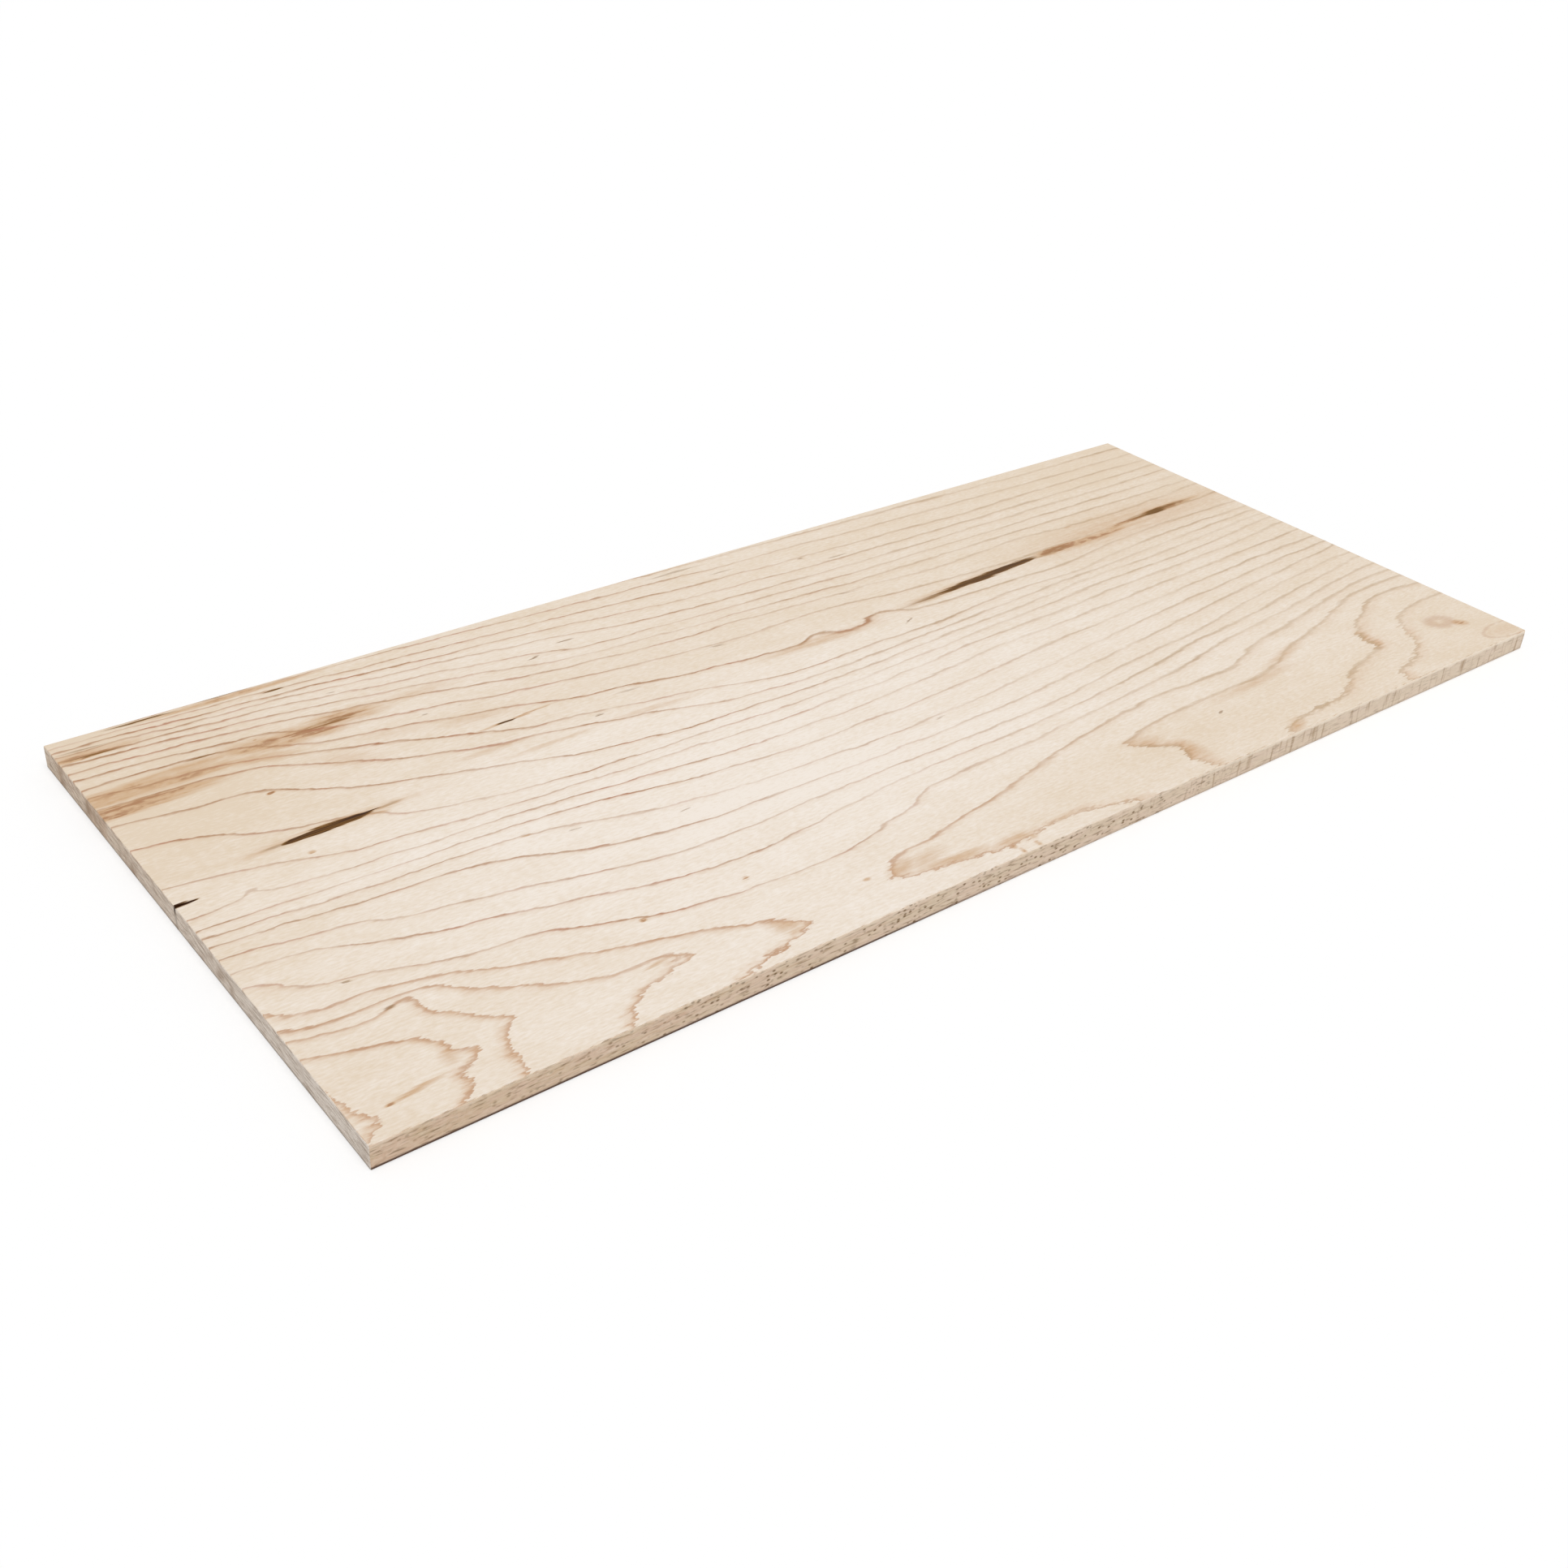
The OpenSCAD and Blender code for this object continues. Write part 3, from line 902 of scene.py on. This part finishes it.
END_WOOD = paint(200, 185, 169)
END_PORE = paint(150, 130, 110)
END_PALE = paint(226, 217, 207)
END_STAIN = paint(150, 122, 98)
# Painted contact shadow along the foot of the end
END_FOOT_SHADOW = paint(96, 80, 66)
PORE_SIZE = 0.25
# Slanted saw marks, so long and so thick
SAW_MARK = (3.5, 0.35)
SAW_MARK_SLANT_DEG = 25
# The end is paler towards the front, and more stained towards the back, over these stretches
END_PALER = (125, 0)
END_STAINED = (10, 110)
# The crack's painted shade runs down the end at this slant. It darkens from its side inwards over these
# distances, and upwards between these heights.
CRACK_SLANT = 0.1
CRACK_SHADING_SPREAD = (0.4, 0.1)
CRACK_SHADING_HEIGHT = (2.6, 4.0)
# Painted contact shadow lies along the foot, between these heights
END_FOOT_SHADOW_HEIGHT = (0.8, 0.25)
BLOTCH_LUMP = (1, 5)


def crosscut_end():
    """Crosscut maple, with its pores in its gloss and its bump.

    Over the growth come, in this order: the end's own wood, paler to the front; stained blotches; the
    crack's painted shade; pores; slanted saw marks; and a painted contact shadow along the foot.
    """
    material, place, colour, _ = maple("crosscut_maple_end", (0, 1, 1))
    across = place.axis(ACROSS)
    up = place.axis(UP)
    colour = lay(colour, END_WOOD, 0.5)
    colour = lay(colour, END_PALE, across.fade(*END_PALER, 0.05, 0.85))
    blotch = grain_noise(place, BLOTCH_LUMP, detail=3, seed=91)
    colour = lay(colour, END_STAIN, blotch.fade(0.5, 0.75) * across.fade(*END_STAINED, 0.3, 0.9))
    # Painted shade of the crack's gap where it opens on the end
    aside = place.math("ABSOLUTE", across - CRACK_ACROSS - (THICKNESS - up) * CRACK_SLANT)
    colour = lay(colour, CRACK_PAINTED_SHADE, aside.fade(*CRACK_SHADING_SPREAD) * up.fade(*CRACK_SHADING_HEIGHT))

    pores = place.node("Mapping", {}, {"Vector": place, "Scale": (1.0, 1 / PORE_SIZE, 1 / PORE_SIZE)})
    pore = place.node("TexNoise", {}, {"Vector": pores, "Scale": 1.0, "Detail": 2.0})
    colour = lay(colour, END_PORE, pore.fade(0.5, 0.75) * 0.7)
    slanted = place.node("Mapping", {}, {
        "Vector": place, "Rotation": (math.radians(SAW_MARK_SLANT_DEG), 0, 0),
        "Scale": (1.0, 1 / SAW_MARK[0], 1 / SAW_MARK[1])})
    saw_mark = place.node("TexNoise", {}, {"Vector": slanted, "Scale": 1.0}).fade(0.42, 0.7)
    colour = lay(colour, END_PORE, saw_mark * 0.75)
    # Painted contact shadow along the foot
    colour = lay(colour, END_FOOT_SHADOW, up.fade(*END_FOOT_SHADOW_HEIGHT) * 0.6)
    finish_of(material, colour, pore * ROUGHNESS_SPREAD + SAWN_ROUGHNESS, pore, SAWN_RELIEF)
    return material


for make_finish in (planed_face, sawn_edge, crosscut_end):
    board_mesh.materials.append(make_finish())
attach(board, "root")
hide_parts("board")

# Floor: a matt white studio floor, so wide that its rim stays out of every picture.
# It shows as white and still takes the board's soft shadow.
FLOOR_REACH = 4000.0
FLOOR_PAINT = (0.99, 0.99, 0.99, 1.0)
WHITE = (1.0, 1.0, 1.0, 1.0)
# Share of plain white in what the camera sees of the floor
FLOOR_WHITENED = 0.5

floor_mesh = bpy.data.meshes.new("floor")
floor_corners = np.array(((-1, -1, 0), (1, -1, 0), (1, 1, 0), (-1, 1, 0))) * FLOOR_REACH * MM
floor_mesh.from_pydata(floor_corners, [], [(0, 1, 2, 3)])
floor = bpy.data.objects.new("floor", floor_mesh)
scene.collection.objects.link(floor)


def seen_directly(start):
    """1 where the camera sees a surface, straight or in a gloss or through glass, and 0 for other light."""
    camera_ray = start.node("LightPath")
    glossy_ray = camera_ray.beside("Is Glossy Ray")
    through_ray = camera_ray.beside("Is Transmission Ray")
    return start.math("MAXIMUM", camera_ray, start.math("MAXIMUM", glossy_ray, through_ray))


floor_material = bpy.data.materials.new("white_floor")
floor_material.use_nodes = True
floor_tree = floor_material.node_tree
floor_shader = floor_tree.nodes["Principled BSDF"]
floor_shader.inputs["Base Color"].default_value = FLOOR_PAINT
floor_shader.inputs["Roughness"].default_value = 1.0
floor_shader.inputs["Specular IOR Level"].default_value = 0.0
floor_start = Signal(floor_tree)
floor_mix = floor_start.node("MixShader", {}, {
    "Fac": seen_directly(floor_start) * FLOOR_WHITENED,
    "Shader": Signal(floor_tree, floor_shader.outputs["BSDF"]),
    "Shader_001": floor_start.node("Emission", {}, {"Color": WHITE, "Strength": 1.0})})
floor_tree.links.new(floor_mix.socket, floor_tree.nodes["Material Output"].inputs["Surface"])
floor_mesh.materials.append(floor_material)

# Light: a bright white room, with soft light from high above and in front of the board, as from a large
# window. The far light falls evenly on the floor, so the floor stays white up to its rim.
# Strength of the room's light on the board and the floor. The camera itself sees the room as plain white.
ROOM_STRENGTH = 0.54
LAMP_FROM = Vector((-150.0, -420.0, 1400.0))
LAMP_STRENGTH = 1.56
LAMP_SPREAD_DEG = 40.0

room = bpy.data.worlds.new("room")
room.use_nodes = True
scene.world = room
room_tree = room.node_tree
room_light = room_tree.nodes["Background"]
room_light.inputs["Color"].default_value = WHITE
room_strength = seen_directly(Signal(room_tree)) * (1 - ROOM_STRENGTH) + ROOM_STRENGTH
room_tree.links.new(room_strength.socket, room_light.inputs["Strength"])

lamp_data = bpy.data.lights.new("soft_light", "SUN")
lamp_data.energy = LAMP_STRENGTH
lamp_data.angle = math.radians(LAMP_SPREAD_DEG)
lamp = bpy.data.objects.new("soft_light", lamp_data)
lamp.matrix_world = (-LAMP_FROM).to_track_quat("-Z", "Y").to_matrix().to_4x4()
scene.collection.objects.link(lamp)

bpy.context.view_layer.update()
